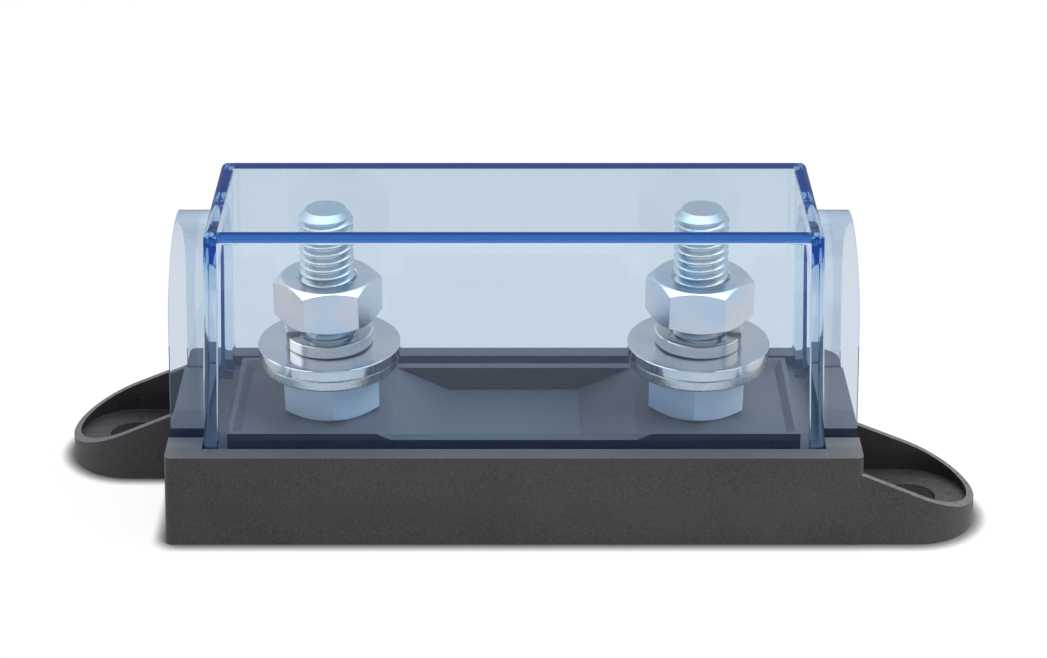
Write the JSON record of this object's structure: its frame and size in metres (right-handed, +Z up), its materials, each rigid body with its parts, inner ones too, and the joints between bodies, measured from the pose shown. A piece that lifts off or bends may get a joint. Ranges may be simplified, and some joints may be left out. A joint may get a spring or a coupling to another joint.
{
  "type": "bolt-down fuse holder",
  "caption": "Moulded base with two walled fixing ears, two bolted stud terminals on a tray, and a clear lift-off cover with an arched cable cowl at each end.",
  "frame": {"origin": "centre of the base's foot, on the surface it is bolted to", "axes": "+X along the base from terminal to terminal, +Y towards its back, +Z up"},
  "size_m": [0.1672, 0.0474, 0.0574],
  "materials": {
    "moulding": "fine moulded grain",
    "clear_cover": "clear blue-tinted polycarbonate",
    "zinc_bolt": "bright zinc plate",
    "zinc_nut": "bright zinc plate",
    "zinc_washer": "bright zinc plate, lathe-turned face",
    "spring_steel": "zinc plated spring steel"
  },
  "bodies": {
    "housing": {"base": "moulding", "left_bolt": "zinc_bolt", "left_clamp_nut": "zinc_nut", "left_contact_washer": "zinc_washer", "right_bolt": "zinc_bolt", "right_clamp_nut": "zinc_nut", "right_contact_washer": "zinc_washer"},
    "cover": {"cover": "clear_cover"},
    "left_washers": {"left_flat_washer": "zinc_washer", "left_lock_washer": "spring_steel"},
    "left_nut": {"left_terminal_nut": "zinc_nut"},
    "right_washers": {"right_flat_washer": "zinc_washer", "right_lock_washer": "spring_steel"},
    "right_nut": {"right_terminal_nut": "zinc_nut"}
  },
  "joints": [
    {"name": "cover_lift", "type": "slide", "parent": "housing", "child": "cover", "axis": [0, 0, 1], "range_m": [0, 0.045]},
    {"name": "left_washer_lift", "type": "slide", "parent": "housing", "child": "left_washers", "axis": [0, 0, 1], "range_m": [0, 0.0105]},
    {"name": "left_nut_turn", "type": "hinge", "parent": "left_washers", "child": "left_nut", "pos_m": [-0.03345, 0, 0.0385], "axis": [0, 0, 1], "range_deg": [0, 2521]},
    {"name": "right_washer_lift", "type": "slide", "parent": "housing", "child": "right_washers", "axis": [0, 0, 1], "range_m": [0, 0.0105]},
    {"name": "right_nut_turn", "type": "hinge", "parent": "right_washers", "child": "right_nut", "pos_m": [0.03345, 0, 0.0385], "axis": [0, 0, 1], "range_deg": [0, 2521]}
  ],
  "couplings": [
    {"joint": "left_nut_turn", "follows": "left_washer_lift", "rad_per_m": 4188.8},
    {"joint": "right_nut_turn", "follows": "right_washer_lift", "rad_per_m": 4188.8}
  ]
}
